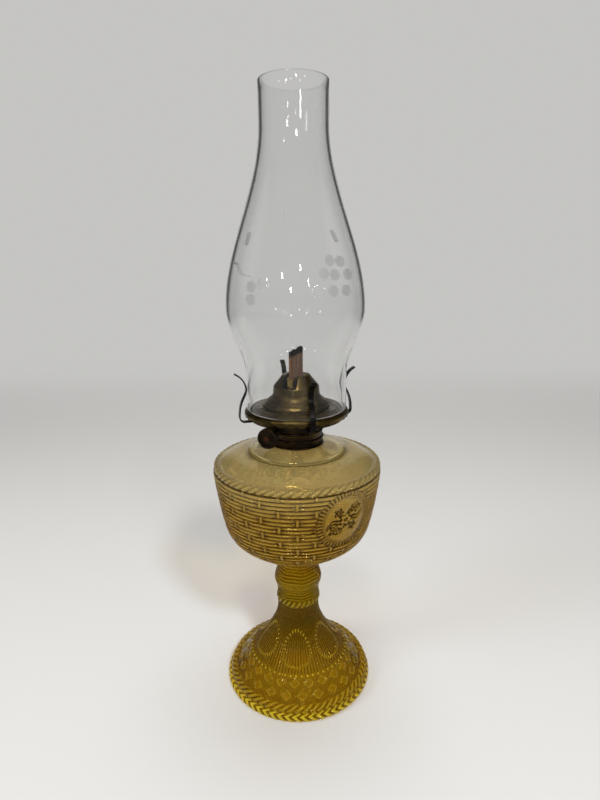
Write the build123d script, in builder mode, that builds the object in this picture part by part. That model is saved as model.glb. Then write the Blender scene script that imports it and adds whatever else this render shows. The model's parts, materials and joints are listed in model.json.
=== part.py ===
from build123d import *
from math import cos, radians, sin
import os

# A table oil lamp: pressed-glass pedestal and font, flat-wick burner, glass chimney. Millimetres.
# The lamp stands on z = 0, its axis is Z, and azimuths are counted from the front (-Y) towards +X.

# Pedestal
pedestal_height = 111.0
foot_diameter = 122.4
foot_rope = 6.4
foot_rope_setback = 2.6
foot_rope_pitch = 5.8
foot_ring_width = 9.2
foot_hollow_height = 40.0
stem_diameter = 33.4
stem_length = 16.5
stem_rope = 7.6
stem_rope_proud = 1.1
stem_rope_drop = 9.8
knop_length = 19.0
knop_drop = 10.5
knop_proud = 2.1
stem_top_length = 7.5
stem_top_setback = 1.1
wafer_thickness = 1.5
foot_relief = 0.8
foot_relief_root = 1.5
flare_steps = 24
petal_count = 6
petal_azimuth = -4.0
petal_width = 25.0
petal_length = 17.6
petal_line = 2.0
petal_reach = 28.2
diamond_count = 24
diamond_azimuth = -4.5
diamond_width = 10.0
diamond_length = 5.6
diamond_spacing = 6.0
diamond_reach = 43.8
bead_ring_rise = 20.5
foot_bead = 2.6
foot_bead_top = 1.3
foot_bead_proud = 1.2
foot_beads = 56

# Font
font_base_overhang = 2.4
font_diameter = 130.4
bowl_height = 82.0
font_wall = 4.5
font_floor = 7.0
font_rope = 6.6
font_rope_proud = 0.4
shoulder_rise = 7.0
shoulder_crown = 0.9
step_diameter = 76.8
step_height = 2.4
crown_rise = 3.2
neck_wall = 1.9
medallion_diameter = 46.0
medallion_relief = 1.4
medallion_drop = 24.5
medallion_azimuth = 33.0
medallion_count = 3
strand_pitch = 3.2
strand_crest = 1.3
strand_proud = 0.9

# Wick and wick tube
wick_azimuth = -20.0
wick_width = 25.0
wick_thickness = 3.0
wick_length = 107.5
wick_above_dome = 18.6
wick_side_clearance = 1.1
wick_face_clearance = 0.6
tube_wall = 0.6
tube_setback = 2.5
tube_below = 2.0
tube_clearance = 0.1

# Collar and its plaster bed
collar_height = 10.0
plaster_bed = 0.5
plaster_top = 1.4
ring_bead = 1.8
ring_bead_spacing = 5.2
ring_bead_lift = 0.2
sheet = 0.6
seat_gap = 0.2

# Winder
wheel_radius = 4.2
wheel_teeth = 12
wheel_tooth = 1.3
wheel_thickness = 1.6
wheel_spacing = 12.0
bite_clearance = 0.3
window_clearance = 0.9
window_inset = 0.5
box_sheet = 0.5
box_end = 3.2
box_clearance = 0.6
box_back_clearance = 0.9
box_lift = 0.2
spindle_diameter = 3.0
spindle_end = 2.5
spindle_clearance = 0.05
spindle_head_lip = 0.4
spindle_head = 0.5
bush_wall = 1.3
bush_lip = 0.9
bush_flange = 1.0
bush_inside = 2.4
bush_outside = 6.4
knob_diameter = 15.0
knob_thickness = 3.8
knob_stand_out = 5.7
knob_step = 0.7
knob_groove_diameter = 11.2
knob_groove = 1.2
knob_boss_diameter = 6.0
knob_notches = 30
knob_notch = 0.6

# Burner body
cup_margin = 0.775
thread_clearance = 0.3
cup_depth = 11.5
cup_vent = 2.5
cup_vent_offset = 8.5
basket_setback = 0.4
basket_foot_width = 2.6
basket_neck_margin = 0.5
pan_flare = 1.8
pan_rise = 1.5
pan_depth = 7.4
pan_setback = 1.9
pan_hole = 3.4
pan_holes = 24
air_plate_lap = 2.0
air_hole = 2.4
air_hole_offset = 2.8
air_hole_spacing = 3.5
air_holes = (20, 26)

# Gallery, dome and tabs
gallery_margin = 1.8
gallery_rise = 2.4
gallery_seat_width = 3.6
gallery_deck_margin = 0.4
skirt_depth = 4.7
skirt_round = 1.9
crimps = 32
crimp_depth = 1.0
crimp_radius = 3.0
dome_flare = 8.1
dome_rim = 1.7
dome_height = 25.6
dome_wall = 0.5
dome_seat = 2.5
dome_waist_clearance = 2.7
dome_waist_height = 15.2
dome_waist_length = 5.0
dome_waist_flare = 0.5
dome_cap_setback = 7.0
dome_crown = 1.5
dome_bead = 1.2
dome_slot_clearance = 2.8
dome_slot_lift = 0.4
tab_azimuth = 48.0
tab_count = 3
tab_width = 4.0
tab_length = 4.0
tab_sheet = 0.5
tab_gap = 0.2

# Prongs
prong_azimuth = 15.0
prong_width = 4.0
prong_sheet = 1.0
prong_gap = 0.3
prong_grip_height = 17.5
prong_tip_height = 28.9
prong_tip_reach = 8.3
prong_bend = 3.9
prong_stand_off = 4.5
prong_foot = 2.6
rivet_inset = 5.2
rivet_shank = 2.0
rivet_head = 3.6
rivet_head_height = 0.8

# Chimney
fitter_diameter = 76.2
fitter_height = 28.5
bulge_diameter = 103.0
bulge_height = 75.0
chimney_top_diameter = 48.6
chimney_top_length = 26.0
chimney_height = 226.0
chimney_wall = 2.2
chimney_edge_flat = 0.4

# Widths that follow from the wick outwards: tube, cup, thread, collar, neck and basket
tube_width = wick_width + 2 * (wick_side_clearance + tube_wall)
tube_thickness = wick_thickness + 2 * (wick_face_clearance + tube_wall)
cup_radius = tube_width / 2 + cup_margin + sheet
thread_radius = cup_radius + thread_clearance
collar_tube_radius = thread_radius + sheet
neck_radius = collar_tube_radius + plaster_bed + neck_wall
skirt_radius = neck_radius + plaster_bed + sheet
collar_radius = skirt_radius - sheet + ring_bead
basket_radius = skirt_radius - basket_setback
dome_waist_radius = tube_width / 2 + dome_waist_clearance + dome_wall
dome_radius = dome_waist_radius + dome_flare
gallery_opening_radius = dome_radius - dome_seat

# Widths that follow from the chimney's fitter
fitter_radius = fitter_diameter / 2
gallery_radius = fitter_radius + gallery_margin
pan_radius = fitter_radius - pan_setback
rivet_radius = pan_radius - rivet_inset

# Winder sizes that follow from its wheels and spindle
winder_offset = wick_thickness / 2 + bite_clearance + wheel_radius
box_height = 2 * (wheel_radius + box_clearance + box_sheet)
box_length = wheel_spacing + wheel_thickness + 2 * (box_end + box_sheet)
bush_diameter = spindle_diameter + 2 * bush_wall
bush_inner = basket_radius - bush_inside
bush_outer = basket_radius + bush_outside
knob_reach = gallery_radius + knob_stand_out

# Heights that follow from the pieces standing on each other
font_z = pedestal_height + wafer_thickness
rope_z = font_z + bowl_height
shoulder_z = rope_z + font_rope / 2
step_z = shoulder_z + shoulder_rise
crown_z = step_z + step_height
collar_z = crown_z + crown_rise
collar_top_z = collar_z + collar_height
neck_top_z = collar_top_z - sheet - plaster_top
cup_z = collar_top_z + seat_gap
cup_floor_z = cup_z - cup_depth
basket_z = cup_z + sheet
winder_z = basket_z + box_lift + box_height / 2
basket_neck_z = winder_z + bush_diameter / 2 + basket_neck_margin
pan_z = basket_neck_z + pan_rise
gallery_z = pan_z + pan_depth
plate_z = gallery_z - sheet
deck_z = gallery_z + gallery_rise
dome_top = deck_z + dome_height
chimney_z = gallery_z + seat_gap

# Planes turned to the wick: x runs along the wick's width towards the knob
wick_along = (sin(radians(wick_azimuth)), -cos(radians(wick_azimuth)), 0)
wick_across = (cos(radians(wick_azimuth)), sin(radians(wick_azimuth)), 0)
wick_plane = Plane(origin=(0, 0, 0), x_dir=wick_along, z_dir=(0, 0, 1))
winder_plane = Plane(
    origin=wick_plane.from_local_coords(Vector(0, -winder_offset, winder_z)),
    x_dir=wick_across,
    z_dir=wick_along,
)

os.makedirs("parts", exist_ok=True)


def upright_plane(azimuth):
    """Plane through the lamp's axis: x points outwards at the azimuth and y points up."""
    turn = radians(azimuth)
    return Plane(origin=(0, 0, 0), x_dir=(sin(turn), -cos(turn), 0), z_dir=(-cos(turn), -sin(turn), 0))


def inset(outline, wall):
    """Points of an outline moved square to it, to the left of the way it runs, by a wall's thickness."""
    moved = []
    for index, point in enumerate(outline):
        before = Vector(*outline[max(index - 1, 0)])
        after = Vector(*outline[min(index + 1, len(outline) - 1)])
        along = (after - before).normalized()
        moved.append((point[0] - along.Y * wall, point[1] + along.X * wall))
    return moved


def points_along(line, distances):
    """Points at the given distances along a line."""
    places = [line.position_at(distance, PositionMode.LENGTH) for distance in distances]
    return [(place.X, place.Y) for place in places]


def save(piece, name):
    """Labels a finished piece and writes its file."""
    piece.part.label = name
    export_step(piece.part, f"parts/{name}.step")


# Pedestal: hollow bell foot with two ropes round its edge, then the stem with a rope ring and a knop
foot_radius = foot_diameter / 2
foot_hollow_radius = foot_radius - foot_ring_width
stem_radius = stem_diameter / 2
stem_top_radius = stem_radius - stem_top_setback
knop_end = pedestal_height - stem_top_length
knop_middle = knop_end - knop_drop
knop_start = knop_end - knop_length
stem_foot = knop_start - stem_length
lower_rope = (foot_radius - foot_rope / 2, foot_rope / 2)
upper_rope = (lower_rope[0] - foot_rope_setback, lower_rope[1] + foot_rope_pitch)
flare_start = (upper_rope[0] - foot_rope / 4, upper_rope[1] + foot_rope / 4)
flare = Spline((stem_radius, stem_foot), flare_start, tangents=[(0, -1), (1, -1.1)])
flare_points = points_along(flare, [flare.length * step / flare_steps for step in range(flare_steps + 1)])
flare_skin = inset(flare_points, foot_relief)
flare_root = inset(flare_points, -foot_relief_root)
bead_ring_reach, bead_ring_z = points_along(flare, [flare.length - bead_ring_rise])[0]

# Pattern of the foot: petal loops below the stem and two rows of diamonds above the ropes
with BuildPart() as foot_pattern:
    with BuildSketch(Plane.XZ):
        with BuildLine():
            Spline(*flare_skin)
            Line(flare_skin[-1], flare_root[-1])
            Spline(*reversed(flare_root))
            Line(flare_root[0], flare_skin[0])
        make_face()
    revolve(axis=Axis.Z)
    with BuildSketch(Plane.XY):
        with PolarLocations(petal_reach, petal_count, start_angle=petal_azimuth - 90):
            Ellipse(petal_length / 2, petal_width / 2)
        with PolarLocations(petal_reach, petal_count, start_angle=petal_azimuth - 90):
            Ellipse(petal_length / 2 - petal_line, petal_width / 2 - petal_line, mode=Mode.SUBTRACT)
        for row in range(2):
            row_start = diamond_azimuth - 90 + 180 / diamond_count * row
            with PolarLocations(diamond_reach + diamond_spacing * row, diamond_count, start_angle=row_start):
                Polygon((diamond_length / 2, 0), (0, diamond_width / 2), (-diamond_length / 2, 0),
                        (0, -diamond_width / 2))
    extrude(amount=pedestal_height, mode=Mode.INTERSECT)

with BuildPart() as pedestal:
    with BuildSketch(Plane.XZ):
        with BuildLine():
            Spline(
                (foot_hollow_radius, 0),
                (0, foot_hollow_height),
                tangents=[(-0.6, 0.8), (-1, 0)],
            )
            Line((0, foot_hollow_height), (0, pedestal_height))
            Line((0, pedestal_height), (stem_top_radius, pedestal_height))
            Line((stem_top_radius, pedestal_height), (stem_top_radius, knop_end))
            ThreePointArc(
                (stem_top_radius, knop_end),
                (stem_radius + knop_proud, knop_middle),
                (stem_radius, knop_start),
            )
            Line((stem_radius, knop_start), (stem_radius, stem_foot))
            add(flare)
            Polyline(flare_start, upper_rope, lower_rope, (lower_rope[0], 0), (foot_hollow_radius, 0))
        make_face()
        with Locations(lower_rope, upper_rope):
            Circle(foot_rope / 2)
        with Locations((stem_radius + stem_rope_proud - stem_rope / 2, knop_start - stem_rope_drop)):
            Circle(stem_rope / 2)
    revolve(axis=Axis.Z)
    with Locations((0, 0, bead_ring_z)):
        with PolarLocations(bead_ring_reach, foot_beads):
            Cone(foot_bead / 2, foot_bead_top / 2, 2 * foot_bead_proud)
    add(foot_pattern.part)
save(pedestal, "pedestal")

# Wafer: the disc of glass between the stem and the font
with BuildPart() as wafer:
    with BuildSketch(Plane.XY.offset(pedestal_height)):
        Circle(stem_top_radius)
    extrude(amount=wafer_thickness)
save(wafer, "wafer")

# Font: bowl, rope ring, shoulder, step and neck over one hollow, with three medallions on the bowl
font_radius = font_diameter / 2
font_base_radius = stem_top_radius + font_base_overhang
rope_centre = (font_radius + font_rope_proud - font_rope / 2, rope_z)
bowl_reach = font_radius - font_base_radius


def bowl_outline(proud):
    """Outer line of the bowl from its base to the rope ring, standing proud by a distance."""
    shape = ((0, 0), (0.455, 0.163), (0.754, 0.312), (0.875, 0.518), (0.966, 0.823), (1, 1))
    points = [(font_base_radius + bowl_reach * x, font_z + bowl_height * y) for x, y in shape]
    return inset(points, -proud)


outer_bowl = bowl_outline(0)
bowl_line = Spline(*outer_bowl)
strand_count = int(bowl_line.length / strand_pitch)
strand_edge = (strand_pitch - strand_crest) / 2
valleys = points_along(bowl_line, [strand_pitch * number for number in range(1, strand_count)])
crests = points_along(
    bowl_line,
    [strand_pitch * number + place for number in range(1, strand_count - 1)
     for place in (strand_edge, strand_edge + strand_crest)],
)
crests = inset(crests, -strand_proud)
woven_bowl = [outer_bowl[0]]
for number, valley in enumerate(valleys):
    woven_bowl += [valley, *crests[2 * number : 2 * number + 2]]
woven_bowl.append(outer_bowl[-1])
inner_bowl = bowl_outline(-font_wall)[1:]
step_radius = step_diameter / 2
shoulder_start = (rope_centre[0], shoulder_z)
step_foot = (step_radius, step_z)
shoulder_middle = (
    (shoulder_start[0] + step_foot[0]) / 2,
    (shoulder_start[1] + step_foot[1]) / 2 + shoulder_crown,
)
with BuildPart() as medallions:
    with BuildSketch(Plane.XZ):
        with BuildLine():
            Spline(*bowl_outline(medallion_relief))
            Line(bowl_outline(medallion_relief)[-1], bowl_outline(-font_wall / 2)[-1])
            Spline(*reversed(bowl_outline(-font_wall / 2)))
            Line(bowl_outline(-font_wall / 2)[0], bowl_outline(medallion_relief)[0])
        make_face()
    revolve(axis=Axis.Z)
    with BuildSketch(*[upright_plane(medallion_azimuth + 360 / medallion_count * turn + 90)
                       for turn in range(medallion_count)]):
        with Locations((0, rope_z - medallion_drop)):
            Circle(medallion_diameter / 2)
    extrude(amount=font_diameter, mode=Mode.INTERSECT)

with BuildPart() as font:
    with BuildSketch(Plane.XZ):
        with BuildLine():
            Line((0, font_z + font_floor), (0, font_z))
            Line((0, font_z), outer_bowl[0])
            Polyline(*woven_bowl)
            Polyline(outer_bowl[-1], rope_centre, shoulder_start)
            ThreePointArc(shoulder_start, shoulder_middle, step_foot)
            Polyline(
                step_foot,
                (step_radius, crown_z),
                (collar_radius, collar_z),
                (neck_radius, collar_z),
                (neck_radius, neck_top_z),
                (neck_radius - neck_wall, neck_top_z),
                (neck_radius - neck_wall, crown_z - font_wall / 2),
                (step_radius - font_wall, step_z - font_wall / 2),
                (shoulder_start[0] - font_wall, shoulder_z - font_wall),
                inner_bowl[-1],
            )
            Spline(
                *reversed(inner_bowl),
                (0, font_z + font_floor),
                tangents=[(0, -1), (-1, 0)],
            )
        make_face()
        with Locations(rope_centre):
            Circle(font_rope / 2)
    revolve(axis=Axis.Z)
    add(medallions.part)
save(font, "font")

# Collar: outer skirt with two ring beads, top web and the tube that takes the burner's thread
def ring_beads(wall_radius, foot_z):
    """Two beads round a sheet wall, with their backs flush with its inner face."""
    bead_x = wall_radius + ring_bead / 2 - sheet
    for number in range(2):
        with Locations((bead_x, foot_z + ring_bead_lift + ring_bead / 2 + ring_bead_spacing * number)):
            Circle(ring_bead / 2)


with BuildPart() as collar:
    with BuildSketch(Plane.XZ):
        with BuildLine():
            Polyline(
                (skirt_radius - sheet, collar_z),
                (skirt_radius, collar_z),
                (skirt_radius, collar_top_z),
                (thread_radius, collar_top_z),
                (thread_radius, collar_z + sheet),
                (collar_tube_radius, collar_z + sheet),
                (collar_tube_radius, collar_top_z - sheet),
                (skirt_radius - sheet, collar_top_z - sheet),
                close=True,
            )
        make_face()
        ring_beads(skirt_radius, collar_z)
    revolve(axis=Axis.Z)
save(collar, "collar")

# Plaster: fills the collar round the glass neck
with BuildPart() as plaster:
    with BuildSketch(Plane.XZ):
        with BuildLine():
            Polyline(
                (collar_tube_radius, collar_z + sheet),
                (collar_tube_radius, collar_top_z - sheet),
                (skirt_radius - sheet, collar_top_z - sheet),
                (skirt_radius - sheet, collar_z),
                (neck_radius, collar_z),
                (neck_radius, neck_top_z),
                (neck_radius - neck_wall, neck_top_z),
                (neck_radius - neck_wall, collar_z + sheet),
                close=True,
            )
        make_face()
    revolve(axis=Axis.Z)
save(plaster, "plaster")

# Thread cup: screws into the collar, closed below but for the wick tube and an air vent
with BuildPart() as thread_cup:
    with BuildSketch(Plane.XZ):
        with BuildLine():
            Polyline(
                (0, cup_floor_z),
                (cup_radius, cup_floor_z),
                (cup_radius, cup_z),
                (skirt_radius, cup_z),
                (skirt_radius, basket_z),
                (cup_radius - sheet, basket_z),
                (cup_radius - sheet, cup_floor_z + sheet),
                (0, cup_floor_z + sheet),
                close=True,
            )
        make_face()
    revolve(axis=Axis.Z)
    with BuildSketch(wick_plane.offset(cup_floor_z)):
        SlotOverall(tube_width + 2 * tube_clearance, tube_thickness + 2 * tube_clearance)
        with Locations((0, cup_vent_offset)):
            Circle(cup_vent / 2)
    extrude(amount=sheet, mode=Mode.SUBTRACT)
save(thread_cup, "thread_cup")

# Basket: ringed neck that flares into the perforated air pan under the gallery
pan_hole_radius = (basket_radius + pan_flare + rivet_radius) / 2
with BuildPart() as basket:
    with BuildSketch(Plane.XZ):
        with BuildLine():
            Polyline(
                (basket_radius - basket_foot_width, basket_z),
                (basket_radius, basket_z),
                (basket_radius, basket_neck_z),
                (basket_radius + pan_flare, pan_z),
                (pan_radius, pan_z),
                (pan_radius, plate_z),
                (pan_radius - sheet, plate_z),
                (pan_radius - sheet, pan_z + sheet),
                (basket_radius + pan_flare - sheet / 2, pan_z + sheet),
                (basket_radius - sheet, basket_neck_z),
                (basket_radius - sheet, basket_z + sheet),
                (basket_radius - basket_foot_width, basket_z + sheet),
                close=True,
            )
        make_face()
        ring_beads(basket_radius, basket_z)
    revolve(axis=Axis.Z)
    with BuildSketch(Plane.XY.offset(pan_z)):
        with PolarLocations(pan_hole_radius, pan_holes):
            Circle(pan_hole / 2)
        with PolarLocations(rivet_radius, 4, start_angle=prong_azimuth - 90):
            Circle(rivet_shank / 2 + tube_clearance)
    extrude(amount=sheet, mode=Mode.SUBTRACT)
    with BuildSketch(winder_plane.offset(bush_inner)):
        Circle(bush_diameter / 2 + tube_clearance)
    extrude(amount=bush_outer - bush_inner, mode=Mode.SUBTRACT)
save(basket, "basket")

# Wick tube: flat tube with two windows for the spur wheels
window_width = wheel_thickness + 2 * window_clearance
window_height = 2 * (wheel_radius - window_inset)
with BuildPart() as wick_tube:
    with BuildSketch(wick_plane.offset(cup_floor_z - tube_below)):
        SlotOverall(tube_width, tube_thickness)
        SlotOverall(tube_width - 2 * tube_wall, tube_thickness - 2 * tube_wall, mode=Mode.SUBTRACT)
    extrude(amount=dome_top - tube_setback - cup_floor_z + tube_below)
    with BuildSketch(wick_plane.offset(winder_z - window_height / 2)):
        with Locations((-wheel_spacing / 2, -tube_thickness / 2), (wheel_spacing / 2, -tube_thickness / 2)):
            Rectangle(window_width, 3 * tube_wall)
    extrude(amount=window_height, mode=Mode.SUBTRACT)
save(wick_tube, "wick_tube")

# Wheel box: folded case on the side of the wick tube, which carries the spindle
box_y = -tube_thickness / 2
box_depth = box_y + winder_offset + wheel_radius + box_back_clearance + box_sheet
with BuildPart() as wheel_box:
    with BuildSketch(wick_plane.offset(winder_z - box_height / 2)):
        with Locations((0, box_y - box_depth / 2)):
            Rectangle(box_length, box_depth)
    extrude(amount=box_height)
    with BuildSketch(wick_plane.offset(winder_z - box_height / 2 + box_sheet)):
        with Locations((0, box_y - (box_depth - box_sheet) / 2)):
            Rectangle(box_length - 2 * box_sheet, box_depth - box_sheet)
    extrude(amount=box_height - 2 * box_sheet, mode=Mode.SUBTRACT)
    with BuildSketch(winder_plane):
        Circle(spindle_diameter / 2 + spindle_clearance)
    extrude(amount=box_length, both=True, mode=Mode.SUBTRACT)
save(wheel_box, "wheel_box")

# Spindle bush: flanged sleeve in the basket wall
with BuildPart() as spindle_bush:
    with BuildSketch(winder_plane.offset(bush_inner)):
        Circle(bush_diameter / 2)
    extrude(amount=bush_outer - bush_inner)
    with BuildSketch(winder_plane.offset(bush_outer - bush_flange)):
        Circle(bush_diameter / 2 + bush_lip)
    extrude(amount=bush_flange)
    with BuildSketch(winder_plane.offset(bush_inner)):
        Circle(spindle_diameter / 2 + spindle_clearance)
    extrude(amount=bush_outer - bush_inner, mode=Mode.SUBTRACT)
save(spindle_bush, "spindle_bush")

# Spindle: plain shaft, headed over the knob
spindle_back = box_length / 2 + spindle_end
with BuildPart() as spindle:
    with BuildSketch(winder_plane.offset(-spindle_back)):
        Circle(spindle_diameter / 2)
    extrude(amount=spindle_back + knob_reach)
    with BuildSketch(winder_plane.offset(knob_reach)):
        Circle(spindle_diameter / 2 + spindle_head_lip)
    extrude(amount=spindle_head)
save(spindle, "spindle")

# Spur wheels: two toothed wheels that bite the wick through the windows
wheel_root = wheel_radius - wheel_tooth
with BuildPart() as spur_wheels:
    with BuildSketch(winder_plane.offset(-wheel_spacing / 2 - wheel_thickness / 2),
                     winder_plane.offset(wheel_spacing / 2 - wheel_thickness / 2)):
        Circle(wheel_root)
        with PolarLocations(0, wheel_teeth):
            Polygon(
                (wheel_root - wheel_tooth / 4, -wheel_tooth / 2),
                (wheel_radius, -wheel_tooth / 8),
                (wheel_radius, wheel_tooth / 8),
                (wheel_root - wheel_tooth / 4, wheel_tooth / 2),
                align=None,
            )
        Circle(spindle_diameter / 2, mode=Mode.SUBTRACT)
    extrude(amount=wheel_thickness)
save(spur_wheels, "spur_wheels")

# Knob: milled thumbwheel with a groove and a raised boss on its face
knob_face = knob_reach - knob_step
with BuildPart() as knob:
    with BuildSketch(winder_plane.offset(knob_reach - knob_thickness)):
        Circle(knob_diameter / 2)
        with PolarLocations(knob_diameter / 2, knob_notches):
            Circle(knob_notch / 2, mode=Mode.SUBTRACT)
    extrude(amount=knob_thickness - knob_step)
    with BuildSketch(winder_plane.offset(knob_face - knob_step)):
        Circle(knob_groove_diameter / 2)
        Circle(knob_groove_diameter / 2 - knob_groove, mode=Mode.SUBTRACT)
    extrude(amount=knob_step, mode=Mode.SUBTRACT)
    with BuildSketch(winder_plane.offset(knob_face)):
        Circle(knob_boss_diameter / 2)
    extrude(amount=knob_step)
    with BuildSketch(winder_plane.offset(knob_reach - knob_thickness)):
        Circle(spindle_diameter / 2)
    extrude(amount=knob_thickness, mode=Mode.SUBTRACT)
save(knob, "knob")

# Air plate: perforated disc under the gallery's deck, round the wick tube
air_hole_start = tube_width / 2 + air_hole_offset
with BuildPart() as air_plate:
    with BuildSketch(wick_plane.offset(deck_z - 2 * sheet)):
        Circle(gallery_opening_radius + air_plate_lap)
        SlotOverall(tube_width + 2 * tube_clearance, tube_thickness + 2 * tube_clearance, mode=Mode.SUBTRACT)
        for ring, count in enumerate(air_holes):
            with PolarLocations(air_hole_start + air_hole_spacing * ring, count):
                Circle(air_hole / 2, mode=Mode.SUBTRACT)
    extrude(amount=sheet)
save(air_plate, "air_plate")

# Gallery: raised deck for the dome, lower seat for the chimney and a crimped skirt
tab_wall = dome_radius + tab_gap + tab_sheet / 2
deck_radius = tab_wall + tab_length + gallery_deck_margin
deck_line = deck_z - sheet / 2
skirt_line = gallery_radius - sheet / 2
plate_line = gallery_z - sheet / 2
skirt_foot = gallery_z - skirt_depth
with BuildPart() as gallery:
    with BuildSketch(Plane.XZ):
        with BuildLine():
            Polyline(
                (gallery_opening_radius, deck_line),
                (deck_radius, deck_line),
                (fitter_radius - gallery_seat_width, plate_line),
                (skirt_line - skirt_round, plate_line),
            )
            RadiusArc(
                (skirt_line - skirt_round, plate_line),
                (skirt_line, plate_line - skirt_round),
                skirt_round,
            )
            Line((skirt_line, plate_line - skirt_round), (skirt_line, skirt_foot))
        trace(line_width=sheet)
    revolve(axis=Axis.Z)
    with BuildSketch(*[upright_plane(360 / crimps * turn) for turn in range(crimps)]):
        with Locations((0, skirt_foot + crimp_depth - crimp_radius)):
            Circle(crimp_radius)
    extrude(amount=gallery_radius, mode=Mode.SUBTRACT)
save(gallery, "gallery")

# Dome: bell over the wick tube with a straight waist and a cap, slotted along the wick
waist_z = deck_z + dome_waist_height
bell_top = waist_z - dome_waist_length
slot_z = waist_z + dome_slot_lift
rim_top = deck_z + dome_rim
bell_foot = dome_radius - dome_rim / 2
with BuildPart() as dome:
    with BuildSketch(Plane.XZ):
        with BuildLine():
            Polyline((dome_radius, deck_z), (dome_radius, rim_top), (bell_foot, rim_top))
            for wall in (0, dome_wall):
                bell = Spline(
                    (bell_foot - wall, rim_top),
                    (dome_waist_radius + dome_waist_flare - wall, bell_top),
                    tangents=[(-0.6, 1), (-0.1, 1)],
                )
                Polyline(
                    bell @ 1,
                    (dome_waist_radius - wall, waist_z),
                    (dome_waist_radius - dome_cap_setback - wall, dome_top - dome_crown - wall),
                )
                Spline(
                    (dome_waist_radius - dome_cap_setback - wall, dome_top - dome_crown - wall),
                    (0, dome_top - wall),
                    tangents=[(-1, 0.5), (-1, 0)],
                )
            Line((0, dome_top), (0, dome_top - dome_wall))
            Polyline((bell_foot - dome_wall, rim_top), (bell_foot - dome_wall, deck_z), (dome_radius, deck_z))
        make_face()
        with Locations(bell @ 0.12, bell @ 0.34, bell @ 0.56):
            Circle(dome_bead / 2)
    revolve(axis=Axis.Z)
    with BuildSketch(wick_plane.offset(slot_z)):
        Rectangle(2 * dome_radius, tube_thickness + 2 * dome_slot_clearance)
    extrude(amount=dome_height, mode=Mode.SUBTRACT)
save(dome, "dome")

# Dome tabs: bent strips that hold the dome's rim down on the gallery
tab_roof = rim_top + tab_gap + tab_sheet / 2
tab_planes = [upright_plane(tab_azimuth + 360 / tab_count * turn) for turn in range(tab_count)]
with BuildPart() as dome_tabs:
    with BuildSketch(*tab_planes):
        with BuildLine():
            Polyline(
                (tab_wall + tab_length, deck_z + tab_sheet / 2),
                (tab_wall, deck_z + tab_sheet / 2),
                (tab_wall, tab_roof),
                (tab_wall - dome_rim / 2, tab_roof),
            )
        trace(line_width=tab_sheet)
    extrude(amount=tab_width / 2, both=True)
save(dome_tabs, "dome_tabs")

# Prongs: spring strips from under the air pan, bent up to grip the chimney, with flared tips
prong_line = pan_z - prong_gap - prong_sheet / 2
grip_radius = fitter_radius + prong_gap + prong_sheet / 2
bend_radius = gallery_radius + prong_stand_off
for name, turn in (("front", 0), ("right", 90), ("back", 180), ("left", 270)):
    with BuildPart() as prong:
        with BuildSketch(upright_plane(prong_azimuth + turn)):
            with BuildLine():
                Line((rivet_radius - prong_foot, prong_line), (bend_radius - prong_bend, prong_line))
                RadiusArc(
                    (bend_radius - prong_bend, prong_line),
                    (bend_radius, prong_line + prong_bend),
                    -prong_bend,
                )
                Spline(
                    (bend_radius, prong_line + prong_bend),
                    (grip_radius, gallery_z + prong_grip_height),
                    (grip_radius + prong_tip_reach, gallery_z + prong_tip_height),
                    tangents=[(0, 1), (1, 0.45)],
                )
            trace(line_width=prong_sheet)
        extrude(amount=prong_width / 2, both=True)
        with BuildSketch(Plane.XY.offset(pan_z)):
            with PolarLocations(rivet_radius, 1, start_angle=prong_azimuth + turn - 90):
                Circle(rivet_shank / 2 + prong_gap)
        extrude(amount=-2 * prong_gap - prong_sheet, mode=Mode.SUBTRACT)
    save(prong, f"prong_{name}")

# Prong rivets: one through the pan and the foot of each prong
rivet_foot = prong_line - prong_sheet / 2 - prong_gap
with BuildPart() as prong_rivets:
    with BuildSketch(Plane.XY.offset(rivet_foot)):
        with PolarLocations(rivet_radius, 4, start_angle=prong_azimuth - 90):
            Circle(rivet_shank / 2)
    extrude(amount=pan_z + sheet - rivet_foot)
    with BuildSketch(Plane.XY.offset(rivet_foot - rivet_head_height), Plane.XY.offset(pan_z + sheet)):
        with PolarLocations(rivet_radius, 4, start_angle=prong_azimuth - 90):
            Circle(rivet_head / 2)
    extrude(amount=rivet_head_height)
save(prong_rivets, "prong_rivets")

# Wick: flat woven strip
with BuildPart() as wick:
    with BuildSketch(wick_plane.offset(dome_top + wick_above_dome)):
        Rectangle(wick_width, wick_thickness)
    extrude(amount=-wick_length)
save(wick, "wick")

# Chimney: straight fitter, bulge and narrow top, one wall thickness all the way up
chimney_top_radius = chimney_top_diameter / 2
bulge_radius = bulge_diameter / 2
chimney_neck_z = chimney_z + chimney_height - chimney_top_length
chimney_edge_round = (chimney_wall - chimney_edge_flat) / 2
with BuildPart() as chimney:
    with BuildSketch(Plane.XZ):
        with BuildLine():
            for wall in (0, chimney_wall):
                Line((fitter_radius - wall, chimney_z), (fitter_radius - wall, chimney_z + fitter_height))
                Spline(
                    (fitter_radius - wall, chimney_z + fitter_height),
                    (bulge_radius - wall, chimney_z + bulge_height),
                    tangents=[(0, 1), (0, 1)],
                )
                Spline(
                    (bulge_radius - wall, chimney_z + bulge_height),
                    (chimney_top_radius - wall, chimney_neck_z),
                    tangents=[(0, 1), (0, 1)],
                )
                Line(
                    (chimney_top_radius - wall, chimney_neck_z),
                    (chimney_top_radius - wall, chimney_z + chimney_height),
                )
            for radius, height in ((fitter_radius, 0), (chimney_top_radius, chimney_height)):
                Line((radius, chimney_z + height), (radius - chimney_wall, chimney_z + height))
        make_face()
    revolve(axis=Axis.Z)
    fillet(chimney.edges().filter_by(GeomType.CIRCLE).group_by(Axis.Z)[0], chimney_edge_round)
    fillet(chimney.edges().filter_by(GeomType.CIRCLE).group_by(Axis.Z)[-1], chimney_edge_round)
save(chimney, "chimney")
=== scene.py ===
import json
import math

import bpy
from mathutils import Matrix, Vector


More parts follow.
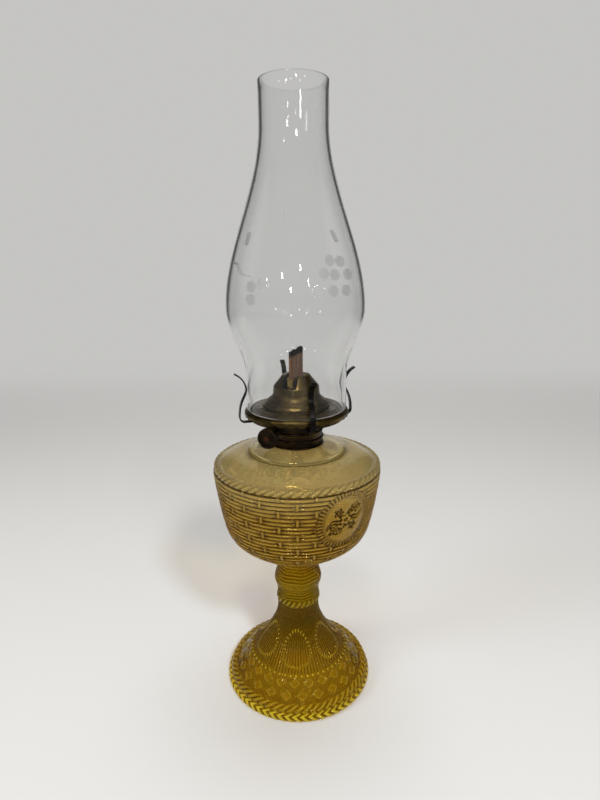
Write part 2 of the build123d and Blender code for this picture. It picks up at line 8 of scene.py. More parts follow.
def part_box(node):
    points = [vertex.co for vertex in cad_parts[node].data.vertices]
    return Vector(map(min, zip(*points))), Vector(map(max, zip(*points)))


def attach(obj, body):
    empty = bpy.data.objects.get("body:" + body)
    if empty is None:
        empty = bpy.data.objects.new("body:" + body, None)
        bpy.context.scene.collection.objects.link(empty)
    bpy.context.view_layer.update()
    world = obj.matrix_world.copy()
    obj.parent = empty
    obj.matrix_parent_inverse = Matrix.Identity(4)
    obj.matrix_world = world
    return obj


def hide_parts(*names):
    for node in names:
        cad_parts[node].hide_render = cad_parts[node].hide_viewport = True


# A table oil lamp in pressed amber glass, with an aged brass burner and an etched glass chimney
# Lengths are metres, angles degrees, and azimuths run from the front (-Y) towards +X
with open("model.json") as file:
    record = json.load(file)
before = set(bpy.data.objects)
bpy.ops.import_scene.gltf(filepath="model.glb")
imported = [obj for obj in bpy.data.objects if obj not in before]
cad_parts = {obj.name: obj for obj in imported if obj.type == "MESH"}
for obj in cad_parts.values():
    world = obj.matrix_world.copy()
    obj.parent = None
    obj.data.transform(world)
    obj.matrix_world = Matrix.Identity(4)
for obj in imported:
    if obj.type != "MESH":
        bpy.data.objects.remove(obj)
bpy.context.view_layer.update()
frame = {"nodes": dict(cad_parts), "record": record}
nodes = frame["nodes"]
record = frame["record"]

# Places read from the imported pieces
foot_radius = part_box("pedestal")[1].x
pedestal_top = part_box("pedestal")[1].z
font_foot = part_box("font")[0].z
neck_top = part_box("font")[1].z
collar_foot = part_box("collar")[0].z
chimney_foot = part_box("chimney")[0].z
chimney_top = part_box("chimney")[1].z
bulge_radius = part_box("chimney")[1].x
wick_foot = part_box("wick")[0].z
wick_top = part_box("wick")[1].z

# Camera, as the photograph was taken
CAMERA_PLACE = (0.0, -0.4018, 0.3507)
CAMERA_PITCH = 14.80
CAMERA_ROLL = -0.45
CAMERA_YAW = -0.40
CAMERA_LENS = 24.25

# Studio lights: name, place, width and height, power, and whether reflections show them
LIGHTS = (
    ("key", (0.55, -1.25, 1.35), (0.22, 0.22), 20, False),
    ("fill", (-1.3, -0.6, 0.9), (0.5, 0.7), 10, False),
    ("top", (0.1, 0.4, 1.8), (1.2, 0.8), 14, False),
    ("front", (-0.15, -0.75, 1.5), (0.35, 0.2), 5, True),
)
LIGHTS_AIM = (0, 0, 0.2)
WORLD_GREY = 0.8
WORLD_STRENGTH = 0.12
LIGHT_BOUNCES = 40

# Small lights that show as glints in the glass
GLINT_SIZE = (0.06, 0.10)
GLINT_POWER = 1.0
GLINTS = (
    (-1.1, -1.0, 0.75),
    (-0.6, -1.5, 0.95),
    (-0.2, -1.6, 0.7),
    (0.25, -1.6, 1.1),
    (0.55, -1.4, 0.8),
    (0.9, -1.2, 0.55),
)

# Paper stage
STAGE_HALF_WIDTH = 4.0
STAGE_FRONT = -3.0
STAGE_BEND = 1.2
STAGE_BEND_RADIUS = 0.8
STAGE_HEIGHT = 3.5
PAPER = (0.62, 0.61, 0.59)
PAPER_DIM = (0.03, 0.03, 0.03)
PAPER_DIM_DEPTHS = (0.1, -0.3)
PAPER_DIM_SHARE = 0.8
GLOW = (0.56, 0.555, 0.54)
GLOW_DIM = (0.06, 0.06, 0.06)
GLOW_DIM_SIDES = (0.6, 1.1)
GLOW_DEPTHS = (0.25, 1.4)

# Pedestal glass
PEDESTAL_SEGMENTS = 360
FOOT_ROPE = 0.0064
FOOT_ROPE_SETBACK = 0.0026
FOOT_ROPE_PITCH = 0.0058
FOOT_RING_WIDTH = 0.0092
FOOT_HOLLOW = 0.040
FOOT_ROPE_TWISTS = 60
FOOT_ROPE_SLANT = 1.2
FOOT_ROPE_RELIEF = 0.0013
FOOT_STEP = 0.0005
DIAMONDS_END = 0.268
BEADS_END = 0.312
PETALS_END = 0.86
DIAMONDS = 24
DIAMOND_AZIMUTH = -4.5
DIAMOND_REACH = 0.0438
DIAMOND_SPACING = 0.006
DIAMOND_WIDTH = 0.0100
DIAMOND_LENGTH = 0.0056
DIAMOND_RELIEF = 0.0008
FOOT_BEADS = 56
FOOT_BEAD = 0.0013
FOOT_BEAD_RELIEF = 0.0012
PETALS = 6
PETAL_AZIMUTH = -4.0
PETAL_REACH = 0.0282
PETAL_WIDTH = 0.0230
PETAL_LENGTH = 0.0156
PETAL_LINE = 0.0011
PETAL_DOTS = 32
PETAL_RELIEF = 0.0009
FOOT_RIBS = 90
FOOT_RIB_LEVEL = 0.25
STEM_RADIUS = 0.0167
STEM_LENGTH = 0.0165
STEM_TOP_RADIUS = 0.0156
STEM_TOP_LENGTH = 0.0075
KNOP_LENGTH = 0.019
KNOP_DROP = 0.0105
KNOP_PROUD = 0.0021
STEM_ROPE_DROP = 0.0098
STEM_ROPE = 0.0076
STEM_ROPE_PROUD = 0.0011
STEM_ROPE_RELIEF = 0.0010
STEM_TWISTS = 26
STEM_ROPE_SLANT = -0.9
STEM_STRAND = 0.0026
STEM_STRAND_RELIEF = 0.0007
STEM_STRAND_WAVES = 7
STEM_STRAND_SWAY = 0.12
STEM_STROKE_RELIEF = 0.0008
STEM_STROKE_SLANT = 1.4
JOINT_GAP = 0.0001
PEDESTAL_GLASS = {
    "tint": (0.90, 0.82, 0.0),
    "density": 230,
    "shadow": (0.75, 0.62, 0.15),
    "milk": (0.22, 0.2),
    "heights": (0.0, 0.09),
    "low": (0.16, 0.085, 0.002),
    "high": (0.32, 0.20, 0.002),
    # The next two colours are painted shade for the grooves and painted highlight for the crests
    "groove": (0.03, 0.014, 0.001),
    "crest_highlight": (0.72, 0.55, 0.03),
    "gleam": (1, 0.85, 0.45),
    # The last colour tints the clear glass deeper towards the bottom
    "tone_shift": (1, 0.96, 0.8),
}

# Font glass
FONT_SEGMENTS = 360
FONT_RADIUS = 0.0652
FONT_BASE_OVERHANG = 0.0024
BOWL_HEIGHT = 0.082
BOWL_SHAPE = ((0, 0), (0.455, 0.163), (0.754, 0.312), (0.875, 0.518), (0.966, 0.823), (1, 1))
BOWL_STEP = 0.00052
FONT_WALL = 0.0045
FONT_FLOOR = 0.007
FONT_ROPE = 0.0066
FONT_ROPE_PROUD = 0.0004
FONT_ROPE_TWISTS = 64
FONT_ROPE_SLANT = -0.96
FONT_ROPE_EDGE_SLANT = -0.34
FONT_ROPE_RELIEF = 0.0011
SHOULDER_RISE = 0.007
SHOULDER_CROWN = 0.0009
SHOULDER_INSET = (0.0012, 0.0006)
STEP_RADIUS = 0.0384
STEP_HEIGHT = 0.0024
COLLAR_RADIUS = 0.0212
NECK_RADIUS = 0.0189
NECK_WALL = 0.0019
WEAVE_COLUMNS = 30
WEAVE_ROW = 0.0064
WEAVE_STRANDS = 2
WEAVE_RELIEF = 0.0013
WEAVE_RIB = 0.0013
MEDALLIONS = 3
MEDALLION_AZIMUTH = 33.0
MEDALLION_DROP = 0.0245
MEDALLION_RADIUS = 0.023
MEDALLION_FIELD = 0.0180
MEDALLION_TEETH = 46
MEDALLION_LIP = 0.0008
MEDALLION_LEVEL = 0.85
MEDALLION_EDGE = (-0.0003, 0.0005)
MEDALLION_SLOPE = 0.0012
FONT_GLASS = {
    "tint": (0.77, 0.64, 0.08),
    "density": 70,
    "shadow": (0.86, 0.79, 0.5),
    "milk": (0.28, 0.14),
    "heights": (0.17, 0.205),
    "low": (0.16, 0.08, 0.004),
    "high": (0.72, 0.62, 0.29),
    # The next two colours are painted shade for the grooves and painted highlight for the crests
    "groove": (0.025, 0.009, 0.001),
    "crest_highlight": (0.54, 0.34, 0.04),
    "gleam": (1, 0.8, 0.35),
    # The last colour tints the clear glass deeper towards the bottom
    "tone_shift": (0.91, 0.76, 0.40),
}

# Flower spray in a medallion: a wavy stem, and flowers by millimetres across and up and by size
SPRAY = ((0.0, 0.5, 5.5), (-8.5, -6.5, 4.0), (8.0, 8.5, 4.0), (6.5, -6.0, 3.2), (-6.5, 7.0, 3.2))
SPRAY_MARGIN = (0.001, 0.003)
SPRAY_LEAN = 0.6
SPRAY_WAVES = 420
SPRAY_SWAY = 0.0022
SPRAY_SPLIT = 0.004
SPRAY_STEM = 0.0009
SPRAY_STEM_EDGE = 0.0012
SPRAY_STEM_LINE = 0.0009
FLOWER_PETALS = 5
FLOWER_NOTCH = 0.2
FLOWER_LINE = 0.0010
FLOWER_RIM = 0.0004
FLOWER_EYE = 0.0012
FLOWER_EYE_LINE = 0.0006

# Chimney glass and the fruit and leaves ground into it, in millimetres across and up from the cluster
CHIMNEY_SEGMENTS = 160
FITTER_RADIUS = 0.0381
FITTER_HEIGHT = 0.0285
BULGE_HEIGHT = 0.075
CHIMNEY_TOP_RADIUS = 0.0243
CHIMNEY_TOP_LENGTH = 0.026
CHIMNEY_WALL = 0.0022
ETCHING_AZIMUTH = 33.0
ETCHING_HEIGHT = 0.3387
ETCHING_RADIUS = 0.047
ETCHING_ROUGHNESS = 0.4
ETCHING_WHITE = (0.86, 0.87, 0.87)
ETCHING_DEPTH = 0.0001
CHIMNEY_TINT = (0.75, 0.78, 0.77)
CHIMNEY_DENSITY = 22
CHIMNEY_SHADOW = (0.97, 0.97, 0.97)
CHIMNEY_RIPPLE = 0.00005
GRAPE = 4.2
GRAPE_EDGE = 0.9
GRAPES = (
    (-2.8, 10.2),
    (5.8, 9.3),
    (11.6, 0.9),
    (0.0, 0.9),
    (-8.1, 1.9),
    (-12.8, -9.3),
    (-2.3, -9.3),
    (8.1, -9.3),
)
VINE_ENDS = (-79, -55)
VINE_TOP = 9
VINE_SLOPE = 0.5
VINE_WAVES = 0.4
VINE_SWAY = 1.2
VINE_GRAPES = ((-48.7, -4.6), (-56.8, -6.3), (-56.8, -14.6))
LEAVES = ((4.7, 25.4, -25.0), (-66.7, 24.2, 0.0))
LEAF = (1.5, 4.6)

# Wick
WICK_AZIMUTH = -20.0
WICK_WIDTH = 0.025
WICK_YARNS = 17
WICK_YARN = 0.00074
WICK_LAYER = 0.00062
WICK_BITE = 0.0042
WICK_RAGGED = 0.0022
WICK_SEED = 7
WICK_POINTS = 110
WICK_SWAY = 0.00012
WICK_FRAY = 0.0012
WICK_FRAY_POWER = 14
COTTON_DARK = (0.035, 0.013, 0.003)
COTTON_LIGHT = (0.13, 0.055, 0.016)
CHAR = (0.001, 0.001, 0.001)
CHAR_DEPTHS = (0.0045, 0.0022)
CHAR_UNEVEN = 0.003
FIBRE_DEPTH = 0.0005

# Metal and plaster
PATINA_DEPTH = 0.00008
PLASTER_PITS = 0.0002

# Surface of the pressed glass
GLASS_INDEX = 1.5
ROPE_ROUNDNESS = 0.5
GLASS_HAZE = 0.05
GLASS_SHARPNESS = 0.9
GLASS_RIPPLE = 0.00011
GLASS_RIPPLE_SCALE = 130
# Where painted groove shade and painted crest highlight set in, and how much milkier the glass grows under
# them
GROOVE_SHOWS = (0.35, 0.95)
CREST_SHOWS = (0.5, 1)
CREST_CLOUD = 0.5
LINE_CLOUD = 0.8
MILK_ROUGHNESS = 0.14
MILK_SPECULAR = 0.3


class Field:
    """A number that varies over a surface, built from math nodes in one tree."""

    def __init__(self, tree, socket):
        self.tree = tree
        self.socket = socket

    def math(self, operation, *others):
        """A math node fed with this field and others."""
        node = self.tree.nodes.new("ShaderNodeMath")
        node.operation = operation
        for place, value in enumerate((self, *others)):
            feed(self.tree, value, node.inputs[place])
        return Field(self.tree, node.outputs[0])

    def __add__(self, other):
        return self.math("ADD", other)

    def __radd__(self, other):
        return self.math("ADD", other)

    def __sub__(self, other):
        return self.math("SUBTRACT", other)

    def __rsub__(self, other):
        return self.math("MULTIPLY", -1).math("ADD", other)

    def __mul__(self, other):
        return self.math("MULTIPLY", other)

    def __rmul__(self, other):
        return self.math("MULTIPLY", other)

    def __truediv__(self, other):
        return self.math("DIVIDE", other)

    def __pow__(self, other):
        return self.math("POWER", other)

    def sin(self):
        return self.math("SINE")

    def cos(self):
        return self.math("COSINE")

    def abs(self):
        return self.math("ABSOLUTE")

    def floor(self):
        return self.math("FLOOR")

    def fract(self):
        return self.math("FRACT")

    def sqrt(self):
        return self.math("SQRT")

    def least(self, other):
        return self.math("MINIMUM", other)

    def most(self, other):
        return self.math("MAXIMUM", other)

    def fade(self, low, high):
        """0 up to low and 1 from high on, with a smooth step between."""
        node = self.tree.nodes.new("ShaderNodeMapRange")
        node.interpolation_type = "SMOOTHSTEP"
        feed(self.tree, self, node.inputs["Value"])
        node.inputs["From Min"].default_value = low
        node.inputs["From Max"].default_value = high
        return Field(self.tree, node.outputs["Result"])

    def hump(self, width):
        """A round ridge of height 1 where this field is near 0, as wide as given to each side."""
        return (1 - (self / width) ** 2).most(0).sqrt()


def feed(tree, value, socket):
    """Puts a number on a socket, or links a field to it."""
    if isinstance(value, Field):
        tree.links.new(value.socket, socket)
    else:
        socket.default_value = value


# Outlines, as lists of (radius, height)
def straight(start, end, steps):
    """Points of a straight run, without its last point."""
    return [
        (start[0] + (end[0] - start[0]) * step / steps, start[1] + (end[1] - start[1]) * step / steps)
        for step in range(steps)
    ]


def swing(start, leave, end, arrive, steps):
    """Points of a smooth curve that leaves and arrives in given directions, without its last point."""
    chord = math.dist(start, end)
    leave = [part * chord / math.hypot(*leave) for part in leave]
    arrive = [part * chord / math.hypot(*arrive) for part in arrive]
    points = []
    for step in range(steps):
        t = step / steps
        weights = (2 * t**3 - 3 * t**2 + 1, t**3 - 2 * t**2 + t, 3 * t**2 - 2 * t**3, t**3 - t**2)
        points.append(
            tuple(sum(w * v[axis] for w, v in zip(weights, (start, leave, end, arrive))) for axis in (0, 1))
        )
    return points


def round_run(centre, radius, first, last, steps):
    """Points of an arc between two angles in degrees, without its last point."""
    turns = [math.radians(first + (last - first) * step / steps) for step in range(steps)]
    return [(centre[0] + radius * math.cos(turn), centre[1] + radius * math.sin(turn)) for turn in turns]


def through(points, steps):
    """Points of a smooth curve through given points, steps to each stretch, without its last point."""
    ends = [points[0], *points, points[-1]]
    run = []
    for before, start, end, after in zip(ends, ends[1:], ends[2:], ends[3:]):
        leave = (end[0] - before[0], end[1] - before[1])
        arrive = (after[0] - start[0], after[1] - start[1])
        run += swing(start, leave, end, arrive, steps)
    return run


def evenly(points, step):
    """The same run at an even spacing, with its last point."""
    reach = [0.0]
    for before, after in zip(points, points[1:]):
        reach.append(reach[-1] + math.dist(before, after))
    count = round(reach[-1] / step)
    run = []
    place = 0
    for number in range(count):
        goal = reach[-1] * number / count
        while reach[place + 1] < goal:
            place += 1
        share = (goal - reach[place]) / (reach[place + 1] - reach[place])
        run.append(tuple(a + (b - a) * share for a, b in zip(points[place], points[place + 1])))
    return run + [points[-1]]


def inset(points, wall):
    """An outline moved square to itself, to the left of the way it runs."""
    moved = []
    for place, point in enumerate(points):
        before = points[max(place - 1, 0)]
        after = points[min(place + 1, len(points) - 1)]
        length = math.dist(before, after)
        across = (after[1] - before[1]) / length
        up = (after[0] - before[0]) / length
        moved.append((point[0] - across * wall, point[1] + up * wall))
    return moved


class Outline:
    """An outline in named stretches, each point with its distance along its own stretch."""

    def __init__(self):
        self.points = []
        self.stretch = []
        self.along = []
        self.share = []
        self.names = ["plain"]

    def add(self, points, name="plain"):
        """Adds a run of points under a stretch's name."""
        if name not in self.names:
            self.names.append(name)
        distance = 0.0
        for place, point in enumerate(points):
            if place:
                distance += math.dist(points[place - 1], point)
            self.points.append(point)
            self.stretch.append(self.names.index(name))
            self.along.append(distance)
            self.share.append(place / max(len(points) - 1, 1))

    def outward(self):
        """The direction square to the outline at each point, to the right of the way it runs."""
        ways = []
        for place in range(len(self.points)):
            before = self.points[max(place - 1, 0)]
            after = self.points[min(place + 1, len(self.points) - 1)]
            length = math.dist(before, after)
            ways.append(((after[1] - before[1]) / length, 0, -(after[0] - before[0]) / length))
        return ways


def new_object(name, mesh):
    """Links a mesh into the scene under a name."""
    piece = bpy.data.objects.new(name, mesh)
    bpy.context.scene.collection.objects.link(piece)
    return piece


def node_tree(name, inputs):
    """A geometry tree with named inputs, and its two end nodes."""
    tree = bpy.data.node_groups.new(name, "GeometryNodeTree")
    tree.is_modifier = True
    tree.interface.new_socket("Geometry", in_out="INPUT", socket_type="NodeSocketGeometry")
    tree.interface.new_socket("Geometry", in_out="OUTPUT", socket_type="NodeSocketGeometry")
    for label, kind in inputs:
        tree.interface.new_socket(label, in_out="INPUT", socket_type=kind)
    return tree, tree.nodes.new("NodeGroupInput"), tree.nodes.new("NodeGroupOutput")


def settle(piece, tree, **values):
    """Runs a geometry tree on a piece with its inputs set, and keeps the result as a plain mesh."""
    modifier = piece.modifiers.new(tree.name, "NODES")
    modifier.node_group = tree
    for item in tree.interface.items_tree:
        if item.in_out == "INPUT" and item.name in values:
            modifier[item.identifier] = values[item.name]
    shape = piece.evaluated_get(bpy.context.evaluated_depsgraph_get())
    mesh = bpy.data.meshes.new_from_object(shape)
    piece.modifiers.remove(modifier)
    old = piece.data
    piece.data = mesh
    bpy.data.meshes.remove(old)
    mesh.name = piece.name
    return piece


def sampled(tree, geometry, name, kind, index):
    """A named value of the outline, read at an index: a field, or a vector's socket."""
    source = tree.nodes.new("GeometryNodeInputNamedAttribute")
    source.data_type = kind
    source.inputs["Name"].default_value = name
    pick = tree.nodes.new("GeometryNodeSampleIndex")
    pick.data_type = kind
    tree.links.new(geometry, pick.inputs["Geometry"])
    tree.links.new(source.outputs["Attribute"], pick.inputs["Value"])
    tree.links.new(index.socket, pick.inputs["Index"])
    return pick.outputs["Value"]


def pressed(spot, stretch, names, relief):
    """How high the pressed pattern stands at a spot, how much painted shade its grooves get and how much
    painted highlight its crests get.
    """
    raised = groove = crest_highlight = None
    for label, (shape, depth, shade, shine) in relief.items():
        here = stretch.math("COMPARE", names.index(label), 0.5)
        level = shape(spot)
        lift = here * level * depth
        # Painted shade, strongest where the pattern sinks
        dip_shade = here * (1 - level) * shade
        # Painted highlight, where the pattern stands highest
        top = here * level.fade(*CREST_SHOWS) * shine
        raised = lift if raised is None else raised + lift
        groove = dip_shade if groove is None else groove + dip_shade
        crest_highlight = top if crest_highlight is None else crest_highlight + top
    return raised, groove, crest_highlight


def turned(name, outline, segments, material, relief=None):
    """A round piece turned from an outline, with relief pressed into its named stretches."""
    mesh = bpy.data.meshes.new(name)
    links = [(place, place + 1) for place in range(len(outline.points) - 1)]
    mesh.from_pydata([(x, 0, z) for x, z in outline.points], links, [])
    values = {"stretch": outline.stretch, "along": outline.along, "share": outline.share}
    for label, numbers in values.items():
        mesh.attributes.new(label, "FLOAT", "POINT").data.foreach_set("value", numbers)
    spread = [part for way in outline.outward() for part in way]
    mesh.attributes.new("outward", "FLOAT_VECTOR", "POINT").data.foreach_set("vector", spread)
    spread = [part for x, z in outline.points for part in (x, 0, z)]
    mesh.attributes.new("place", "FLOAT_VECTOR", "POINT").data.foreach_set("vector", spread)
    piece = new_object(name, mesh)

    inputs = (("Segments", "NodeSocketInt"), ("Finish", "NodeSocketMaterial"))
    tree, start, finish = node_tree(name + " turning", inputs)
    link = tree.links.new
    size = tree.nodes.new("GeometryNodeAttributeDomainSize")
    link(start.outputs["Geometry"], size.inputs["Geometry"])
    count = Field(tree, size.outputs["Point Count"])
    grid = tree.nodes.new("GeometryNodeMeshGrid")
    around = Field(tree, start.outputs["Segments"])
    link((around + 1).socket, grid.inputs["Vertices X"])
    link(count.socket, grid.inputs["Vertices Y"])
    number = Field(tree, tree.nodes.new("GeometryNodeInputIndex").outputs["Index"])
    turn = ((number + 0.5) / count).floor() / around
    point = (number - turn * around * count + 0.5).floor()
    place = tree.nodes.new("ShaderNodeSeparateXYZ")
    link(sampled(tree, start.outputs["Geometry"], "place", "FLOAT_VECTOR", point), place.inputs[0])
    outward = tree.nodes.new("ShaderNodeSeparateXYZ")
    link(sampled(tree, start.outputs["Geometry"], "outward", "FLOAT_VECTOR", point), outward.inputs[0])
    radius = Field(tree, place.outputs["X"])
    height = Field(tree, place.outputs["Z"])
    told = {}
    for label in values:
        told[label] = Field(tree, sampled(tree, start.outputs["Geometry"], label, "FLOAT", point))
    if relief:
        spot = {"turn": turn, "radius": radius, "height": height, **told}
        raised = pressed(spot, told["stretch"], outline.names, relief)[0]
        radius = radius + raised * Field(tree, outward.outputs["X"])
        height = height + raised * Field(tree, outward.outputs["Z"])
    angle = turn * (2 * math.pi)
    where = tree.nodes.new("ShaderNodeCombineXYZ")
    feed(tree, radius * angle.sin(), where.inputs["X"])
    feed(tree, radius * angle.cos() * -1, where.inputs["Y"])
    feed(tree, height, where.inputs["Z"])
    shape = grid.outputs["Mesh"]
    for label, field in told.items():
        note = tree.nodes.new("GeometryNodeStoreNamedAttribute")
        note.inputs["Name"].default_value = label
        link(shape, note.inputs["Geometry"])
        link(field.socket, note.inputs["Value"])
        shape = note.outputs["Geometry"]
    move = tree.nodes.new("GeometryNodeSetPosition")
    link(shape, move.inputs["Geometry"])
    link(where.outputs[0], move.inputs["Position"])
    merge = tree.nodes.new("GeometryNodeMergeByDistance")
    merge.inputs["Distance"].default_value = 1e-6
    link(move.outputs["Geometry"], merge.inputs["Geometry"])
    dress_and_end(tree, merge.outputs["Geometry"], start, finish)
    return settle(piece, tree, Segments=segments, Finish=material)


def dress_and_end(tree, geometry, start, finish):
    """Ends a tree: smooth faces, real geometry and the material that was asked for."""
    for kind in ("GeometryNodeSetShadeSmooth", "GeometryNodeRealizeInstances", "GeometryNodeSetMaterial"):
        node = tree.nodes.new(kind)
        tree.links.new(geometry, node.inputs["Geometry"])
        geometry = node.outputs["Geometry"]
    tree.links.new(start.outputs["Finish"], node.inputs["Material"])
    tree.links.new(geometry, finish.inputs["Geometry"])


# Materials
def material(name):
    """A new node material, its tree and its Principled shader."""
    finish = bpy.data.materials.new(name)
    finish.use_nodes = True
    tree = finish.node_tree
    shader = tree.nodes["Principled BSDF"]
    return finish, tree, shader


def noise(tree, scale, detail=4.0, stretch=(1, 1, 1)):
    """A field of soft noise on the piece's own coordinates."""
    where = tree.nodes.new("ShaderNodeTexCoord")
    fit = tree.nodes.new("ShaderNodeMapping")
    fit.inputs["Scale"].default_value = stretch
    tree.links.new(where.outputs["Object"], fit.inputs["Vector"])
    cloud = tree.nodes.new("ShaderNodeTexNoise")
    cloud.inputs["Scale"].default_value = scale
    cloud.inputs["Detail"].default_value = detail
    tree.links.new(fit.outputs["Vector"], cloud.inputs["Vector"])
    return Field(tree, cloud.outputs["Fac"])


def surface_spot(tree):
    """Where a point of a turned piece lies: round it, out from its axis, up and along its outline."""
    where = tree.nodes.new("ShaderNodeTexCoord")
    parts = tree.nodes.new("ShaderNodeSeparateXYZ")
    tree.links.new(where.outputs["Object"], parts.inputs[0])
    x, y, z = (Field(tree, parts.outputs[axis]) for axis in "XYZ")
    turn = x.math("ARCTAN2", y * -1) / (2 * math.pi)
    spot = {"turn": turn, "radius": (x * x + y * y).sqrt(), "height": z}
    for label in ("along", "share", "stretch"):
        source = tree.nodes.new("ShaderNodeAttribute")
        source.attribute_name = label
        spot[label] = Field(tree, source.outputs["Fac"])
    return spot


def blend_colours(tree, factor, first, second):
    """A colour that goes from the first to the second as the factor goes from 0 to 1."""
    mix = tree.nodes.new("ShaderNodeMix")
    mix.data_type = "RGBA"
    feed(tree, factor, mix.inputs["Factor"])
    for socket, colour in ((mix.inputs["A"], first), (mix.inputs["B"], second)):
        if isinstance(colour, tuple):
            socket.default_value = (*colour, 1)
        else:
            tree.links.new(colour, socket)
    return mix.outputs["Result"]


def add_bump(tree, shader, height, distance, strength=1.0):
    """Roughens a shader's surface by a height field."""
    bump = tree.nodes.new("ShaderNodeBump")
    bump.inputs["Distance"].default_value = distance
    bump.inputs["Strength"].default_value = strength
    feed(tree, height, bump.inputs["Height"])
    tree.links.new(bump.outputs["Normal"], shader.inputs["Normal"])


def mix_shaders(tree, factor, first, second):
    """A shader between two others."""
    mix = tree.nodes.new("ShaderNodeMixShader")
    feed(tree, factor, mix.inputs["Fac"])
    tree.links.new(first, mix.inputs[1])
    tree.links.new(second, mix.inputs[2])
    return mix.outputs["Shader"]


def finish_glass(tree, surface, shadow, tint, density):
    """Ends a glass: light shines through its surface, and its body takes on colour with depth."""
    clear = tree.nodes.new("ShaderNodeBsdfTransparent")
    clear.inputs["Color"].default_value = (*shadow, 1)
    path = tree.nodes.new("ShaderNodeLightPath")
    output = tree.nodes["Material Output"]
    in_shadow = Field(tree, path.outputs["Is Shadow Ray"])
    lit = mix_shaders(tree, in_shadow, surface, clear.outputs["BSDF"])
    tree.links.new(lit, output.inputs["Surface"])
    depth = tree.nodes.new("ShaderNodeVolumeAbsorption")
    depth.inputs["Color"].default_value = (*tint, 1)
    depth.inputs["Density"].default_value = density
    tree.links.new(depth.outputs["Volume"], output.inputs["Volume"])


def make_clear(shader, haze):
    """Turns a Principled shader into clear glass."""
    shader.inputs["Base Color"].default_value = (1, 1, 1, 1)
    shader.inputs["Transmission Weight"].default_value = 1
    shader.inputs["Roughness"].default_value = haze
    shader.inputs["IOR"].default_value = GLASS_INDEX


def pressed_glass(name, glass, names, relief):
    """Pressed glass, a little milky: its colour by height, with painted shade in its grooves and a painted
    highlight on its crests.
    """
    finish, tree, shader = material(name)
    make_clear(shader, GLASS_HAZE)
    spot = surface_spot(tree)
    raised, groove, crest_highlight = pressed(spot, spot["stretch"], names, relief)
    groove_shade_mask = groove.fade(*GROOVE_SHOWS)
    rise = spot["height"].fade(*glass["heights"])
    low, high = glass["milk"]
    cloud = rise * (high - low) + low
    # The clear glass takes a deeper tint towards the bottom and none at the top
    tree.links.new(blend_colours(tree, rise, glass["tone_shift"], (1, 1, 1)), shader.inputs["Base Color"])
    body = blend_colours(tree, rise, glass["low"], glass["high"])
    # Painted highlight: the milky colour turns bright on the crests
    body = blend_colours(tree, crest_highlight, body, glass["crest_highlight"])
    milky = tree.nodes.new("ShaderNodeBsdfPrincipled")
    milky.inputs["Roughness"].default_value = MILK_ROUGHNESS
    milky.inputs["Specular IOR Level"].default_value = MILK_SPECULAR
    # Painted shade: the milky colour turns dark in the grooves
    tree.links.new(blend_colours(tree, groove_shade_mask, body, glass["groove"]), milky.inputs["Base Color"])
    height = raised * GLASS_SHARPNESS + noise(tree, GLASS_RIPPLE_SCALE, 2.0) * GLASS_RIPPLE
    for layer in (shader, milky):
        layer.inputs["Specular Tint"].default_value = (*glass["gleam"], 1)
        add_bump(tree, layer, height, 1.0)
    # The glass turns milkier under the painted shade and painted highlight, so that they show
    solid = cloud + groove_shade_mask.most(crest_highlight * CREST_CLOUD) * (1 - cloud) * LINE_CLOUD
    surface = mix_shaders(tree, solid, shader.outputs["BSDF"], milky.outputs["BSDF"])
    finish_glass(tree, surface, glass["shadow"], glass["tint"], glass["density"])
    return finish


def old_metal(name, bright, dull, smooth, rough, scale=90):
    """Metal with blotches of patina, rubbed and tarnished unevenly."""
    finish, tree, shader = material(name)
    blotch = noise(tree, scale, 6.0).fade(0.38, 0.66)
    speck = noise(tree, scale * 9, 3.0).fade(0.5, 0.75)
    tarnish = (blotch * 0.75 + speck * 0.35).least(1)
    tree.links.new(blend_colours(tree, tarnish, bright, dull), shader.inputs["Base Color"])
    shader.inputs["Metallic"].default_value = 1
    feed(tree, tarnish * (rough - smooth) + smooth, shader.inputs["Roughness"])
    add_bump(tree, shader, noise(tree, scale * 6, 5.0), PATINA_DEPTH)
    return finish


aged_brass = old_metal("aged brass", (0.17, 0.115, 0.036), (0.055, 0.039, 0.014), 0.3, 0.52)
bright_brass = old_metal("rubbed brass", (0.66, 0.44, 0.13), (0.38, 0.25, 0.08), 0.22, 0.4)
dark_bronze = old_metal("dark bronze", (0.075, 0.05, 0.028), (0.022, 0.017, 0.012), 0.25, 0.5)
red_bronze = old_metal("reddened bronze", (0.19, 0.07, 0.035), (0.06, 0.03, 0.02), 0.3, 0.5)
black_steel = old_metal("blackened steel", (0.03, 0.028, 0.026), (0.012, 0.011, 0.01), 0.25, 0.45)


def plaster_finish():
    """Dry plaster with faint pits."""
    finish, tree, shader = material("plaster")
    tone_shift = noise(tree, 220, 5.0)
    colour = blend_colours(tree, tone_shift, (0.66, 0.62, 0.54), (0.5, 0.46, 0.38))
    tree.links.new(colour, shader.inputs["Base Color"])
    shader.inputs["Roughness"].default_value = 0.9
    add_bump(tree, shader, noise(tree, 900, 3.0), PLASTER_PITS)
    return finish


plaster = plaster_finish()


# Pedestal: bell foot with two ropes, diamonds, beads and petals, and a stem bound with cord
def rope_lobes(twists, slant, start=0.0):
    """Pattern of twisted strands round a rope: ridges that lean as they cross it."""

    def level(spot):
        lean = spot["turn"] * twists + spot["share"] * slant + start
        return (lean * math.pi).sin().abs() ** ROPE_ROUNDNESS

    return level


